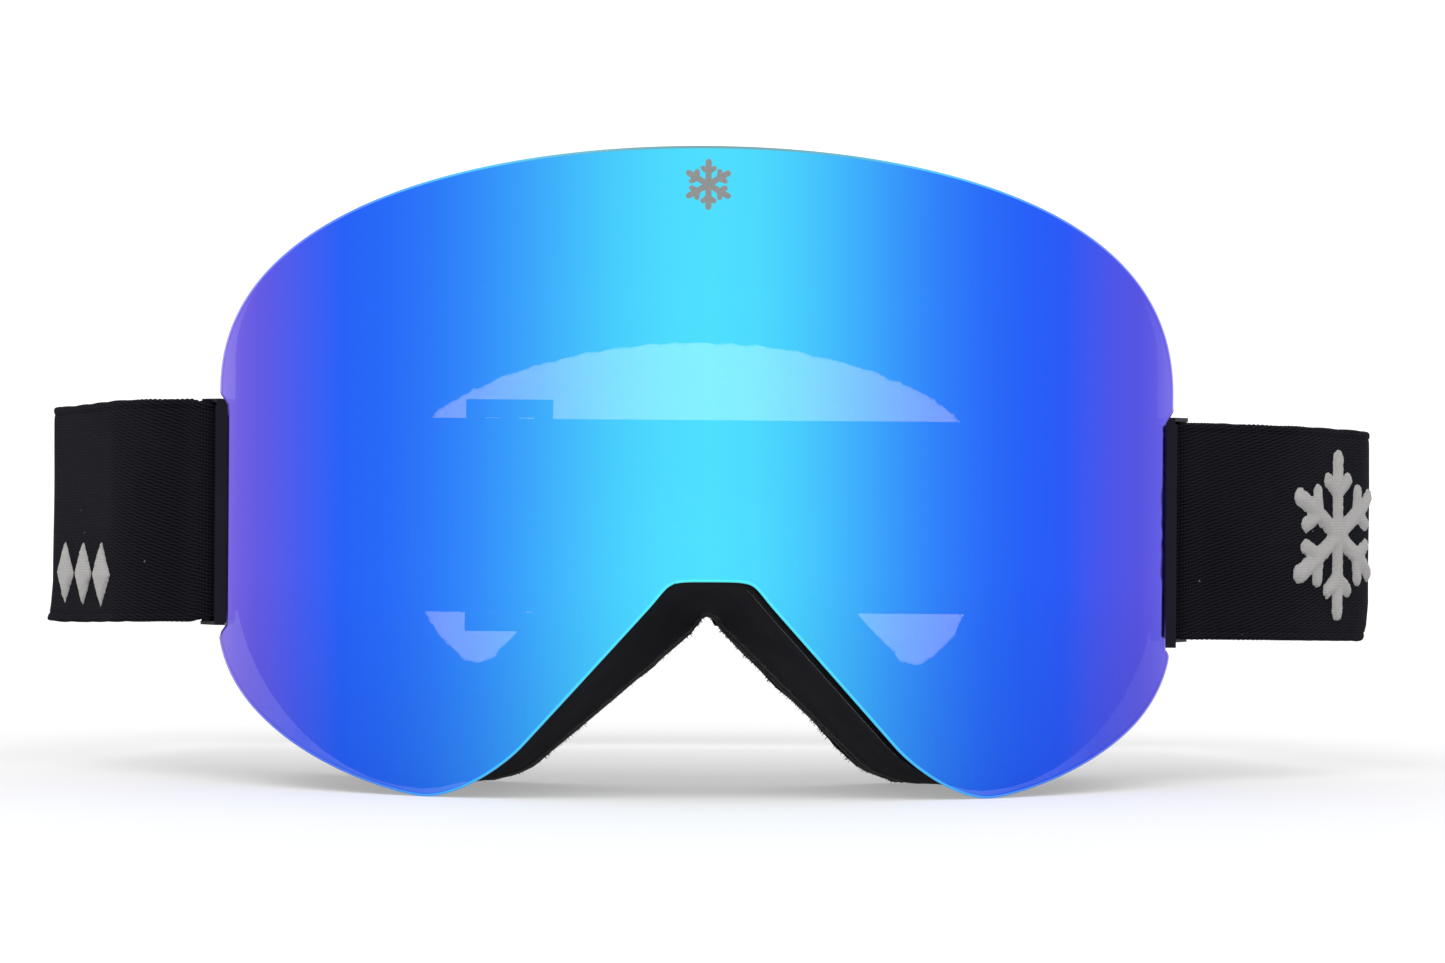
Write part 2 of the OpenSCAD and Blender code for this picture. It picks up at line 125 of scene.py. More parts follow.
def wobble(points, scale, seed=0.0):
    """Smooth noise from -1 to 1 at each point; scale is its size in metres."""
    return np.array([noise.noise(Vector(p) / scale + Vector((seed, seed, seed)))
                     for p in points])


# -------------------------------------------------------------------- meshes
def mesh_piece(name, points, faces, smooth=True, mats=(), mat_of=None, uv=None):
    me = bpy.data.meshes.new(name)
    me.from_pydata([tuple(p) for p in points], [], [tuple(f) for f in faces])
    me.polygons.foreach_set("use_smooth", [smooth] * len(me.polygons))
    for m in mats:
        me.materials.append(m)
    if mat_of is not None:
        me.polygons.foreach_set("material_index", list(mat_of))
    if uv is not None:
        layer = me.uv_layers.new(name="Weave")
        index = np.zeros(len(me.loops), int)
        me.loops.foreach_get("vertex_index", index)
        layer.data.foreach_set("uv", np.asarray(uv, np.float32)[index].ravel())
    me.update()
    me.validate()
    ob = bpy.data.objects.new(name, me)
    bpy.context.collection.objects.link(ob)
    return ob


def grid_faces(rows, cols, wrap_cols):
    """Quads between neighbouring rows, the last row joined to the first."""
    out = []
    for j in range(rows):
        for i in range(cols if wrap_cols else cols - 1):
            a, b = j * cols + i, j * cols + (i + 1) % cols
            c, d = ((j + 1) % rows) * cols + (i + 1) % cols, ((j + 1) % rows) * cols + i
            out.append((a, b, c, d))
    return out


# ----------------------------------------------------------------- materials
class Shade:
    """A Principled material with a few short calls for the nodes behind it."""

    def __init__(self, name, color, rough, **sockets):
        self.mat = bpy.data.materials.new(name)
        self.mat.use_nodes = True
        self.tree = self.mat.node_tree
        self.bsdf = self.tree.nodes["Principled BSDF"]
        self.out = self.tree.nodes["Material Output"]
        self.set("Base Color", (*color, 1))
        self.set("Roughness", rough)
        for k, v in sockets.items():
            self.set(k.replace("_", " "), v)

    def set(self, socket, value):
        self.bsdf.inputs[socket].default_value = value

    def node(self, kind, **values):
        n = self.tree.nodes.new("ShaderNode" + kind)
        for k, v in values.items():
            if hasattr(n, k) and k not in n.inputs:
                setattr(n, k, v)
            else:
                n.inputs[k].default_value = v
        return n

    def link(self, a, b):
        self.tree.links.new(a, b)
        return b

    def coords(self, kind="Object"):
        if kind == "UV":
            return self.node("UVMap", uv_map="Weave").outputs["UV"]
        return self.node("TexCoord").outputs[kind]

    def scaled(self, source, scale, rotation=0.0):
        m = self.node("Mapping")
        m.inputs["Scale"].default_value = scale
        m.inputs["Rotation"].default_value = (0, 0, rotation)
        self.link(source, m.inputs["Vector"])
        return m.outputs["Vector"]

    def noise(self, source, scale, detail=3.0, rough=0.5):
        n = self.node("TexNoise")
        n.inputs["Scale"].default_value = scale
        n.inputs["Detail"].default_value = detail
        n.inputs["Roughness"].default_value = rough
        self.link(source, n.inputs["Vector"])
        return n.outputs["Fac"]

    def voronoi(self, source, scale):
        n = self.node("TexVoronoi")
        n.inputs["Scale"].default_value = scale
        self.link(source, n.inputs["Vector"])
        return n.outputs["Distance"]

    def wave(self, source, scale, distortion=0.0, direction="X", detail=1.0, detail_scale=1.0):
        n = self.node("TexWave")
        n.wave_type, n.bands_direction, n.wave_profile = "BANDS", direction, "SIN"
        n.inputs["Scale"].default_value = scale
        n.inputs["Distortion"].default_value = distortion
        n.inputs["Detail"].default_value = detail
        n.inputs["Detail Scale"].default_value = detail_scale
        self.link(source, n.inputs["Vector"])
        return n.outputs["Fac"]

    def math(self, op, a, b=0.5, clamp=False):
        n = self.node("Math")
        n.operation, n.use_clamp = op, clamp
        for i, v in enumerate((a, b)):
            if isinstance(v, (int, float)):
                n.inputs[i].default_value = v
            else:
                self.link(v, n.inputs[i])
        return n.outputs[0]

    def ramp(self, fac, stops):
        n = self.node("ValToRGB")
        r = n.color_ramp
        while len(r.elements) < len(stops):
            r.elements.new(0.5)
        for e, (p, c) in zip(r.elements, stops):
            e.position = p
            e.color = (*c, 1) if hasattr(c, "__len__") else (c, c, c, 1)
        self.link(fac, n.inputs["Fac"])
        return n.outputs["Color"]

    def mix(self, fac, a, b):
        n = self.node("Mix")
        n.data_type = "RGBA"
        for i, v in ((0, fac), (6, a), (7, b)):
            if isinstance(v, (int, float)):
                n.inputs[i].default_value = v
            elif isinstance(v, tuple):
                n.inputs[i].default_value = (*v, 1)
            else:
                self.link(v, n.inputs[i])
        return n.outputs[2]

    def bump(self, height, distance, strength):
        n = self.node("Bump")
        n.inputs["Strength"].default_value = strength
        n.inputs["Distance"].default_value = distance
        self.link(height, n.inputs["Height"])
        self.link(n.outputs["Normal"], self.bsdf.inputs["Normal"])

    def to(self, source, socket):
        self.link(source, self.bsdf.inputs[socket])

    def see_through(self, alpha, tint=(1, 1, 1)):
        """Lets part of what lies behind show: alpha is the share of the surface's own colour."""
        t = self.node("BsdfTransparent")
        t.inputs["Color"].default_value = (*tint, 1)
        m = self.node("MixShader")
        if isinstance(alpha, (int, float)):
            m.inputs["Fac"].default_value = alpha
        else:
            self.link(alpha, m.inputs["Fac"])
        self.link(t.outputs[0], m.inputs[1])
        self.link(self.bsdf.outputs[0], m.inputs[2])
        self.link(m.outputs[0], self.out.inputs["Surface"])


def span_of(shade, axis, half):
    """How far a point lies from the middle along an axis, 0 to 1."""
    xyz = shade.node("SeparateXYZ")
    shade.link(shade.coords(), xyz.inputs[0])
    return shade.math("DIVIDE", shade.math("ABSOLUTE", xyz.outputs[axis]), half)


# The mirror coating is cyan in the middle, then blue, and violet where the curve turns away.
# Each side: how far the cyan reaches, where the violet starts (mm), how much violet and green.
COATING = {"left": (34.0, 64.0, 0.125, 0.103), "right": (31.5, 61.0, 0.08, 0.091)}
MIDDLE_GREEN = 0.74
WORLD = 1.2
COATED = 176.0    # mm of lens width that the colour ramps cover


def ease(t):
    """0 to 1 with a soft start and a soft end."""
    t = min(1.0, max(0.0, t))
    return t * t * (3 - 2 * t)


def mirror_colour(x):
    """The coating's colour x mm from the middle, as linear light."""
    reach, start, violet, green = COATING["left" if x < 0 else "right"]
    away = abs(x)
    middle = math.exp(-(x / reach) ** 2)
    turned, rim = ease((away - start) / 20), ease((away - 82) / 6)
    return (0.018 + 0.059 * middle + violet * turned + 0.13 * rim,
            green + (MIDDLE_GREEN - green) * middle + 0.09 * rim,
            0.99 - 0.05 * ease(away / 65) - 0.2 * turned)


def coating(x):
    """Share of the coating's own colour: it lets less through towards the sides."""
    return 0.84 + (0.11 if x < 0 else 0.14) * min(1.0, max(0.0, (abs(x) - 50) / 20))


def mirror_lens():
    m = Shade("mirror_lens", (0.07, 0.7, 1), 0.05, Metallic=1.0)
    xyz = m.node("SeparateXYZ")
    m.link(m.coords(), xyz.inputs[0])
    x = m.math("ADD", m.math("DIVIDE", xyz.outputs["X"], COATED * MM), 0.5)
    high = m.ramp(xyz.outputs["Z"], [(0.084, 0), (0.09, 1)])
    stops = sorted([-84, 84, *range(-88, 89, 8)])
    thin, full = (m.ramp(x, [(p / COATED + 0.5, tuple(min(1, v / WORLD / share(p))
                                                      for v in mirror_colour(p)))
                             for p in stops])
                  for share in (coating, lambda p: 1.0))
    m.to(m.mix(high, thin, full), "Base Color")
    m.set("Specular Tint", (0.58, 0.57, 1, 1))
    fine = m.noise(m.coords(), 260, 4, 0.6)
    m.to(m.ramp(fine, [(0.3, 0.035), (0.75, 0.075)]), "Roughness")
    share = m.ramp(x, [(p / COATED + 0.5, coating(p)) for p in (-70, -50, 50, 70)])
    m.see_through(m.mix(high, share, (1.0, 1.0, 1.0)))
    return m.mat


def lens_rim():
    m = Shade("lens_rim", (0.1, 0.9, 1), 0.16)
    x = span_of(m, "X", COATED * MM / 2)
    # Painted light: along its length the rim runs from cyan to violet, as light glowing through the
    # edge's thickness.
    painted_edge_glow = m.ramp(x, [(0, (0.06, 0.8, 0.9)), (0.35, (0.035, 0.52, 0.88)),
                      (0.7, (0.03, 0.16, 0.75)), (0.9, (0.08, 0.1, 0.72)),
                      (1, (0.18, 0.12, 0.66))])
    xyz = m.node("SeparateXYZ")
    m.link(m.coords(), xyz.inputs[0])
    # Painted shade: along the lens's top edge the rim turns dark teal.
    top = m.ramp(xyz.outputs["Z"], [(0, 0), (0.1085, 0), (0.1125, 1), (1, 1)])
    # Painted reflection: beside the strap the rim is painted dark navy, as the dark strap reflected
    # in it, and it is made less glossy there.
    painted_strap_reflection = m.math("MULTIPLY", m.ramp(x, [(0.967, 0), (0.972, 1)]),
                      m.ramp(xyz.outputs["Z"], [(0.026, 0), (0.028, 1), (0.068, 1), (0.07, 0)]))
    body = m.mix(painted_strap_reflection, m.mix(top, painted_edge_glow, (0.06, 0.16, 0.18)), (0.006, 0.003, 0.03))
    m.to(body, "Base Color")
    m.to(m.ramp(painted_strap_reflection, [(0, 0.45), (1, 0.06)]), "Specular IOR Level")
    m.to(m.ramp(m.noise(m.coords(), 900), [(0, 0.12), (1, 0.24)]), "Roughness")
    return m.mat


def lens_back():
    """The lens's uncoated back: clear, faintly warm plastic."""
    m = Shade("lens_back", (0.02, 0.014, 0.008), 0.06, Specular_IOR_Level=0.3)
    m.to(m.ramp(m.noise(m.coords(), 200, 3), [(0.2, 0.04), (0.8, 0.09)]), "Roughness")
    m.see_through(0.05, (0.98, 0.95, 0.92))
    return m.mat


def inner_lens_tint():
    m = Shade("inner_lens", (0.03, 0.02, 0.012), 0.06, Specular_IOR_Level=0.5)
    m.to(m.ramp(m.noise(m.coords(), 180, 3), [(0.2, 0.04), (0.8, 0.1)]), "Roughness")
    m.see_through(0.04, (0.98, 0.94, 0.92))
    return m.mat


def moulded(name, color, rough, grain=0.00004, scale=1600, wear=0.25, **sockets):
    """Moulded plastic: fine spark grain, slightly lighter rubbed patches."""
    m = Shade(name, color, rough, **sockets)
    p = m.coords()
    patch = m.noise(p, 45, 4, 0.6)
    lighter = tuple(min(1, c * (1 + wear) + 0.004 * wear) for c in color)
    m.to(m.mix(m.ramp(patch, [(0.45, 0), (0.7, 1)]), tuple(color), lighter), "Base Color")
    m.to(m.ramp(m.noise(p, 320, 3), [(0.3, max(0.02, rough - 0.06)), (0.7, rough + 0.07)]),
         "Roughness")
    m.bump(m.noise(p, scale, 2, 0.6), grain, 0.5)
    return m.mat


def open_cell(name, color, cell=900):
    """Open-cell foam: pores at two sizes, painted darker as shade in the hollows, and a dusty
    colour.
    """
    m = Shade(name, color, 0.95, Specular_IOR_Level=0.06, Sheen_Weight=0.04)
    p = m.coords()
    big, small = m.voronoi(p, cell), m.voronoi(p, cell * 2.3)
    pores = m.math("ADD", m.math("MULTIPLY", big, 0.7), m.math("MULTIPLY", small, 0.4))
    light = tuple(min(1, c * 1.9 + 0.01) for c in color)
    # Painted shade: the pores are darker than the cell walls between them.
    m.to(m.mix(m.ramp(pores, [(0.15, 0), (0.7, 1)]), tuple(c * 0.45 for c in color), light),
         "Base Color")
    m.bump(pores, 0.0004, 0.9)
    return m.mat


def fleece_nap():
    m = Shade("fleece", (0.003, 0.003, 0.004), 1.0, Specular_IOR_Level=0.03,
              Sheen_Weight=0.02, Sheen_Roughness=0.5)
    p = m.coords()
    tufts = m.noise(p, 900, 4, 0.65)
    m.to(m.ramp(tufts, [(0.3, (0.0015, 0.0015, 0.0022)), (0.55, (0.0035, 0.0035, 0.005)),
                        (0.8, (0.011, 0.011, 0.0135))]), "Base Color")
    m.bump(tufts, 0.0007, 0.8)
    return m.mat


def elastic_weave():
    """Woven elastic: fine slanted ribs, cross threads, lint and a sheen."""
    m = Shade("elastic", (0.01, 0.01, 0.013), 0.9, Specular_IOR_Level=0.03,
              Sheen_Weight=0.015, Sheen_Roughness=0.4)
    m.set("Sheen Tint", (0.5, 0.55, 0.75, 1))
    uv = m.coords("UV")
    rib = m.wave(m.scaled(uv, (1, 1, 1), math.radians(72)), 480, 2.5, "X", 3, 30)
    thread = m.wave(uv, 700, 0.8, "X", 1, 2)
    cross = m.wave(uv, 560, 0.6, "Y", 1, 2)
    cloth = m.math("ADD", m.math("MULTIPLY", rib, 0.55),
                   m.math("MULTIPLY", m.math("MULTIPLY", thread, cross), 0.6))
    blotch = m.noise(uv, 60, 3)
    tone = m.mix(m.ramp(cloth, [(0.1, 0), (0.95, 1)]), (0.0014, 0.0014, 0.0021),
                 (0.0135, 0.0135, 0.0185))
    tone = m.mix(m.math("MULTIPLY", m.ramp(blotch, [(0.4, 0), (0.75, 1)]), 0.25), tone,
                 (0.011, 0.011, 0.016))
    lint = m.ramp(m.voronoi(uv, 150), [(0.0, 1), (0.018, 1), (0.03, 0)])
    m.to(m.mix(m.math("MULTIPLY", lint, 0.5), tone, (0.3, 0.3, 0.34)), "Base Color")
    m.bump(cloth, 0.00022, 0.8)
    return m.mat


def thread_grey():
    """Satin stitch: close wavy threads with shadows between them."""
    color = (0.76, 0.73, 0.72)
    m = Shade("embroidery", color, 0.75, Specular_IOR_Level=0.35, Sheen_Weight=0.3)
    uv = m.coords("UV")
    strand = m.wave(uv, 1100, 9.0, "Y", 3, 90)
    row = m.wave(uv, 620, 11.0, "Y", 3, 60)
    fluff = m.noise(uv, 1500, 3)
    h = m.math("ADD", m.math("MULTIPLY", strand, 0.5), m.math("MULTIPLY", row, 0.6))
    h = m.math("ADD", h, m.math("MULTIPLY", fluff, 0.35))
    m.to(m.mix(m.ramp(h, [(0.35, 0), (0.95, 1)]), tuple(c * 0.62 for c in color),
               tuple(min(1, c * 1.25) for c in color)), "Base Color")
    m.bump(h, 0.0005, 0.9)
    return m.mat


def brushed(name, color, rough, stretch):
    m = Shade(name, color, rough, Metallic=1.0)
    streak = m.noise(m.scaled(m.coords(), stretch), 600, 4, 0.6)
    m.to(m.ramp(streak, [(0.3, rough - 0.1), (0.7, rough + 0.12)]), "Roughness")
    m.to(m.mix(m.ramp(streak, [(0.35, 0), (0.8, 1)]), tuple(color),
               tuple(c * 0.8 for c in color)), "Base Color")
    m.bump(streak, 0.00003, 0.4)
    return m.mat


def print_grey():
    m = Shade("grey_print", (0.17, 0.19, 0.19), 0.45, Metallic=0.3)
    m.to(m.ramp(m.noise(m.coords(), 2500, 2), [(0.3, (0.15, 0.175, 0.175)),
                                             (0.7, (0.21, 0.2, 0.2))]), "Base Color")
    return m.mat


MIRROR, RIM, BACK, TINT = mirror_lens(), lens_rim(), lens_back(), inner_lens_tint()
FRAME_BLACK = moulded("frame_plastic", (0.005, 0.005, 0.006), 0.3, Specular_IOR_Level=0.12)
CARRIER_BLACK = moulded("carrier_plastic", (0.003, 0.003, 0.004), 0.42,
                        Specular_IOR_Level=0.05)
ARM_GLOSS = moulded("arm_plastic", (0.003, 0.0025, 0.009), 0.16, 0.00001,
                    Specular_IOR_Level=0.12)
SLIDER_BLACK = moulded("slider_plastic", (0.006, 0.006, 0.007), 0.48, 0.00006, 1200,
                       Specular_IOR_Level=0.2)
SKIRT_RUBBER = moulded("skirt_rubber", (0.0165, 0.0165, 0.02), 0.85, 0.00006, 1100, 0.3,
                       Specular_IOR_Level=0.006)
FOAM_BASE = open_cell("base_foam", (0.007, 0.007, 0.0078), 800)
FOAM_MIDDLE = open_cell("middle_foam", (0.012, 0.012, 0.0132), 1100)
FOAM_VENT = open_cell("vent_foam", (0.007, 0.007, 0.0075), 620)
FLEECE = fleece_nap()
ELASTIC = elastic_weave()
THREAD = thread_grey()
MAGNET = brushed("magnet", (0.72, 0.73, 0.75), 0.28, (1, 1, 6))
PIN = brushed("pin_steel", (0.6, 0.61, 0.63), 0.32, (6, 6, 1))
PRINT = print_grey()


def dress(node, mat, bevel=0.0, segments=2):
    ob = NODE[node]
    if not ob.data.materials:
        ob.data.materials.append(mat)
    for s in ob.material_slots:
        s.link = "OBJECT"
        s.material = mat
    if bevel:
        b = ob.modifiers.new("soft_edges", "BEVEL")
        b.width, b.segments, b.limit_method = bevel * MM, segments, "ANGLE"
        b.angle_limit = math.radians(35)
    return ob


dress("front_bezel", FRAME_BLACK, 0.35)
dress("lens_carrier", CARRIER_BLACK, 0.2)
dress("lens_spacer", FOAM_BASE)
dress("inner_lens", TINT)
dress("lens_magnets", MAGNET, 0.12)
dress("frame_magnets", MAGNET, 0.12)
for side in ("left", "right"):
    dress(side + "_bracket", FRAME_BLACK, 0.3)
    dress(side + "_hinge_pin", PIN, 0.15)
    dress(side + "_arm", ARM_GLOSS, 0.3, 3)
    dress(side + "_slider", SLIDER_BLACK, 0.5, 3)
    dress(side + "_vent_foam", FOAM_VENT, 0.4)
dress("top_vent_foam", FOAM_VENT, 0.4)


# ---------------------------------------------------------------- outer lens
def lens_mesh():
    notch_x, up, slope = 86.0, 19.8, 3.0
    p = ring(LENS, 4, 3)
    low = np.clip((26 - p[:, 1]) / 14, 0, 1)
    nose = np.clip((40 - np.abs(p[:, 0])) / 10, 0, 1) * (p[:, 1] < 45)
    p[:, 0] += LENS_LEAN * np.maximum(low, nose)
    left = p[:, 0] < 0
    z = p[:, 1] - np.where(left, ARM_Z["left"], ARM_Z["right"])
    over = np.clip(np.maximum(z - up, -z - np.where(left, 20.6, 22.0)) / slope, 0, 1)
    limit = notch_x + over * 2.6
    p[:, 0] = np.clip(p[:, 0], -limit, limit)
    edge = 0.45
    flat = inward(p, edge)
    bm = bmesh.new()
    bm.faces.new([bm.verts.new((x, 0, z)) for x, z in flat])
    for x in np.arange(-86, 87, 2.0):
        bmesh.ops.bisect_plane(bm, geom=bm.verts[:] + bm.edges[:] + bm.faces[:],
                               dist=1e-5, plane_co=(x, 0, 0), plane_no=(1, 0, 0))
    bm.verts.index_update()
    xz = np.array([(v.co.x, v.co.z) for v in bm.verts])
    front = [[v.index for v in f.verts] for f in bm.faces]
    step = {}
    for f in bm.faces:
        for lp in f.loops:
            if len(lp.edge.link_faces) == 1:
                step[lp.vert.index] = lp.link_loop_next.vert.index
    bm.free()
    start = min(step)
    loop = [start]
    while step[loop[-1]] != start:
        loop.append(step[loop[-1]])
    points = [place(xz[:, 0], depth_at(LENS_R, LENS_R, xz[:, 0]), xz[:, 1])]
    border = xz[loop]
    t = np.roll(border, -1, 0) - np.roll(border, 1, 0)
    out = np.stack([t[:, 1], -t[:, 0]], 1)
    out /= np.linalg.norm(out, axis=1)[:, None]
    centre = border.mean(0)
    if ((border - centre) * out).sum() < 0:
        out = -out
    angles = [i * math.pi / 10 for i in range(1, 6)]
    steps = [(edge * math.sin(a), edge * (1 - math.cos(a))) for a in angles]
    steps += [(o, LENS_T - d) for o, d in reversed(steps)]
    rows = [list(loop)]
    for o, d in steps:
        q = border + out * o
        rows.append([len(points[0]) + sum(len(x) for x in points[1:]) + i
                     for i in range(len(loop))])
        points.append(place(q[:, 0], depth_at(LENS_R, LENS_R - d, q[:, 0]), q[:, 1]))
    base = sum(len(x) for x in points)
    points.append(place(xz[:, 0], depth_at(LENS_R, LENS_R - LENS_T, xz[:, 0]), xz[:, 1]))
    rows.append([base + i for i in loop])
    faces, mats = [], []
    a, b, c = (place(xz[i][0], 0, xz[i][1]) for i in front[0][:3])
    faces_out = np.cross(b - a, c - b)[1] < 0
    for f in front:
        faces.append(f if faces_out else f[::-1])
        mats.append(0)
    for f in front:
        back = [base + i for i in f]
        faces.append(back[::-1] if faces_out else back)
        mats.append(2)
    m = len(loop)
    for r0, r1 in zip(rows, rows[1:]):
        for i in range(m):
            q = [r0[i], r1[i], r1[(i + 1) % m], r0[(i + 1) % m]]
            faces.append(q if faces_out else q[::-1])
            mats.append(1)
    pts = np.concatenate(points)
    ob = mesh_piece("mirror_lens", pts, faces, mats=(MIRROR, RIM, BACK), mat_of=mats)
    me = ob.data
    radial = pts - np.array([0, (FRONT + LENS_R) * MM, 0])
    radial[:, 2] = 0
    radial /= np.linalg.norm(radial, axis=1)[:, None]
    normals = []
    for k, poly in enumerate(me.polygons):
        for v in poly.vertices:
            if k < len(front):
                normals.append(tuple(radial[v]))
            elif k < 2 * len(front):
                normals.append(tuple(-radial[v]))
            else:
                normals.append((0, 0, 0))
    me.normals_split_custom_set(normals)
    return ob


lens = lens_mesh()
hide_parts("outer_lens")
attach(lens, "lens")


# --------------------------------------------------------------------- skirt
def skirt_mesh():
    fine, levels, flange = 2, 18, 5
    a, m, b = (ring(k, fine) for k in (BEZEL, WAIST, FACE))
    b = lean(b)
    a, b, hole = inward(a, 1.3), inward(b, 1.0), ring(APERTURE, fine)
    rows = []
    for j in range(levels + 1):
        t = j / levels
        r = a * (1 - t) * (1 - 2 * t) + m * 4 * t * (1 - t) + b * t * (2 * t - 1)
        x = r[:, 0]
        d = (1 - t) * depth_at(LENS_R, BACK_R, x) + t * depth_at(FACE_AXIS, FLANGE_R + 0.3, x)
        bead = 0.5 * math.exp(-((t - 0.1) / 0.05) ** 2) + 0.45 * math.exp(-((t - 0.93) / 0.04) ** 2)
        r = inward(r, -bead)
        rows.append(place(r[:, 0], d, r[:, 1]))
    for j in range(1, flange + 1):
        r = b + (hole - b) * 0.62 * j / flange
        rows.append(place(r[:, 0], depth_at(FACE_AXIS, FLANGE_R + 0.3, r[:, 0]), r[:, 1]))
    cols = len(a)
    vents = {2, 3, 5, 6, 8, 9, 11, 12, 28, 29, 31, 32}
    faces = []
    for j in range(len(rows) - 1):
        for i in range(cols):
            col = i // fine if i < cols // 2 else (cols - 1 - i) // fine
            if 6 <= j < 12 and col in vents:
                continue
            k = (i + 1) % cols
            faces.append((j * cols + i, (j + 1) * cols + i, (j + 1) * cols + k, j * cols + k))
    ob = mesh_piece("soft_skirt", np.concatenate(rows), faces, mats=(SKIRT_RUBBER,))
    if ob.data.polygons[0].normal.z < 0:
        ob.data.flip_normals()
    s = ob.modifiers.new("wall", "SOLIDIFY")
    s.thickness, s.offset = 1.5 * MM, -1
    d = ob.modifiers.new("round", "SUBSURF")
    d.levels = d.render_levels = 1
    return ob


skirt = skirt_mesh()
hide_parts("skirt")
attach(skirt, "frame")


# --------------------------------------------------------------------- foams
def band_profile(width, front_r, back_r, corner, bulge, crown, across=9):
    """Closed section of a face pad, bulged walls and crowned back: (distance in, radius)."""
    h = front_r - back_r
    pts = []
    turn = [i * math.pi / 8 for i in range(5)]
    for i in range(1, across):
        u = corner + (width - 2 * corner) * i / across
        pts.append((u, front_r))
    pts += [(width - corner + corner * math.sin(a), front_r - corner + corner * math.cos(a))
            for a in turn]
    pts += [(width, front_r - corner - (h - 2 * corner) * k / 4) for k in (1, 2, 3)]
    pts += [(width - corner + corner * math.cos(a), back_r + corner - corner * math.sin(a))
            for a in turn]
    for i in range(1, across):
        u = width - corner - (width - 2 * corner) * i / across
        pts.append((u, back_r - crown * 4 * u * (width - u) / width**2))
    pts += [(corner - corner * math.sin(a), back_r + corner - corner * math.cos(a)) for a in turn]
    pts += [(0.0, back_r + corner + (h - 2 * corner) * k / 4) for k in (1, 2, 3)]
    pts += [(corner - corner * math.cos(a), front_r - corner + corner * math.sin(a))
            for a in turn]
    out = []
    for u, r in pts:
        v = (front_r - r) / h
        push = bulge * math.sin(math.pi * min(1, max(0, v)))
        out.append((u - push if u < width / 2 else u + push, r))
    return out


def pad(name, edge, hole_edge, front_r, back_r, corner, bulge, crown, mat, rough, fine=2,
        across=9, blades=0):
    outer = inward(lean(ring(FACE, fine)), edge)
    inner = inward(ring(APERTURE, fine), -hole_edge)
    across_v = inner - outer
    width = np.linalg.norm(across_v, axis=1)
    across_v /= width[:, None]
    cols = len(outer)
    sections = [band_profile(w, front_r, back_r, corner, bulge, crown, across) for w in width]
    rows = len(sections[0])
    pts = np.zeros((rows, cols, 3))
    for i in range(cols):
        s = np.array(sections[i])
        q = outer[i] + across_v[i] * s[:, :1]
        pts[:, i] = place(q[:, 0], depth_at(FACE_AXIS, s[:, 1], q[:, 0]), q[:, 1])
    flat = pts.reshape(-1, 3)
    faces = grid_faces(rows, cols, True)
    me = bpy.data.meshes.new("probe")
    me.from_pydata([tuple(p) for p in flat], [], faces)
    normals = np.zeros(len(flat) * 3)
    me.vertices.foreach_get("normal", normals)
    normals = normals.reshape(-1, 3)
    mid = np.array([0, (FRONT + FACE_AXIS) * MM, 0])
    outward = ((flat[:cols] - mid) * normals[:cols])[:, :2].sum()
    if outward < 0:
        normals = -normals
        faces = [f[::-1] for f in faces]
    bpy.data.meshes.remove(me)
    push = rough[0] * wobble(flat, rough[1], 3.1) + 0.6 * rough[0] * wobble(flat, rough[1] / 3, 9.7)
    flat = flat + normals * push[:, None]
    points, all_faces = [flat], list(faces)
    if blades:
        points2, faces2 = nap(flat, normals, faces, blades)
        points.append(points2)
        all_faces += [tuple(i + len(flat) for i in f) for f in faces2]
    return mesh_piece(name, np.concatenate(points), all_faces, mats=(mat,))


def nap(pts, normals, faces, count, seed=7):
    """Short closed fibres standing on a surface, most along its edges."""
    rng = random.Random(seed)
    area = np.array([np.linalg.norm(np.cross(pts[f[2]] - pts[f[0]], pts[f[3]] - pts[f[1]]))
                     for f in faces])
    facing = np.array([abs(normals[f[0]][1]) for f in faces])
    total = np.cumsum(area * np.where(facing < 0.6, 6.0, 1.0))
    out, tri = [], []
    for _ in range(count):
        f = faces[min(len(faces) - 1, int(np.searchsorted(total, rng.random() * total[-1])))]
        a, b = rng.random(), rng.random()
        near, far = (pts[f[i]] * (1 - a) + pts[f[j]] * a for i, j in ((0, 1), (3, 2)))
        p = near * (1 - b) + far * b
        n = normals[f[0]]
        d = n + np.array([rng.gauss(0, 0.45) for _ in range(3)])
        d /= np.linalg.norm(d)
        length = (0.3 + 0.6 * rng.random()) * MM
        wide = (0.07 + 0.07 * rng.random()) * MM
        s = np.cross(d, [0.3, 0.5, 0.8])
        s /= np.linalg.norm(s)
        t = np.cross(d, s)
        k = len(out)
        root = p - n * 0.15 * MM
        out += [root + wide * s, root + wide * (-0.5 * s + 0.87 * t),
                root + wide * (-0.5 * s - 0.87 * t), p + d * length]
        tri += [(k, k + 1, k + 3), (k + 1, k + 2, k + 3), (k + 2, k, k + 3), (k + 2, k + 1, k)]
    return np.array(out), tri


base_pad = pad("base_foam_pad", 0.8, 0.8, FLANGE_R, BASE_R, 0.7, 0.35, 0.0, FOAM_BASE,
               (0.00016, 0.0016))
middle_pad = pad("middle_foam_pad", 0.3, 0.3, BASE_R, MIDDLE_R, 0.9, 0.5, 0.0, FOAM_MIDDLE,
                 (0.00016, 0.0016))
fleece = pad("fleece_pad", 0.0, 0.0, MIDDLE_R, FACE_R, 1.2, 0.25, 0.9, FLEECE,
             (0.00055, 0.0018), 3, 12, 22000)
for ob, nodes, slot, fill in ((base_pad, "base_foam", "foam", 1.0),
                              (middle_pad, "middle_foam", "foam", 1.0),
                              (fleece, "fleece_liner", "fleece", 0.9)):
    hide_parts(nodes)
    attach(ob, "frame")


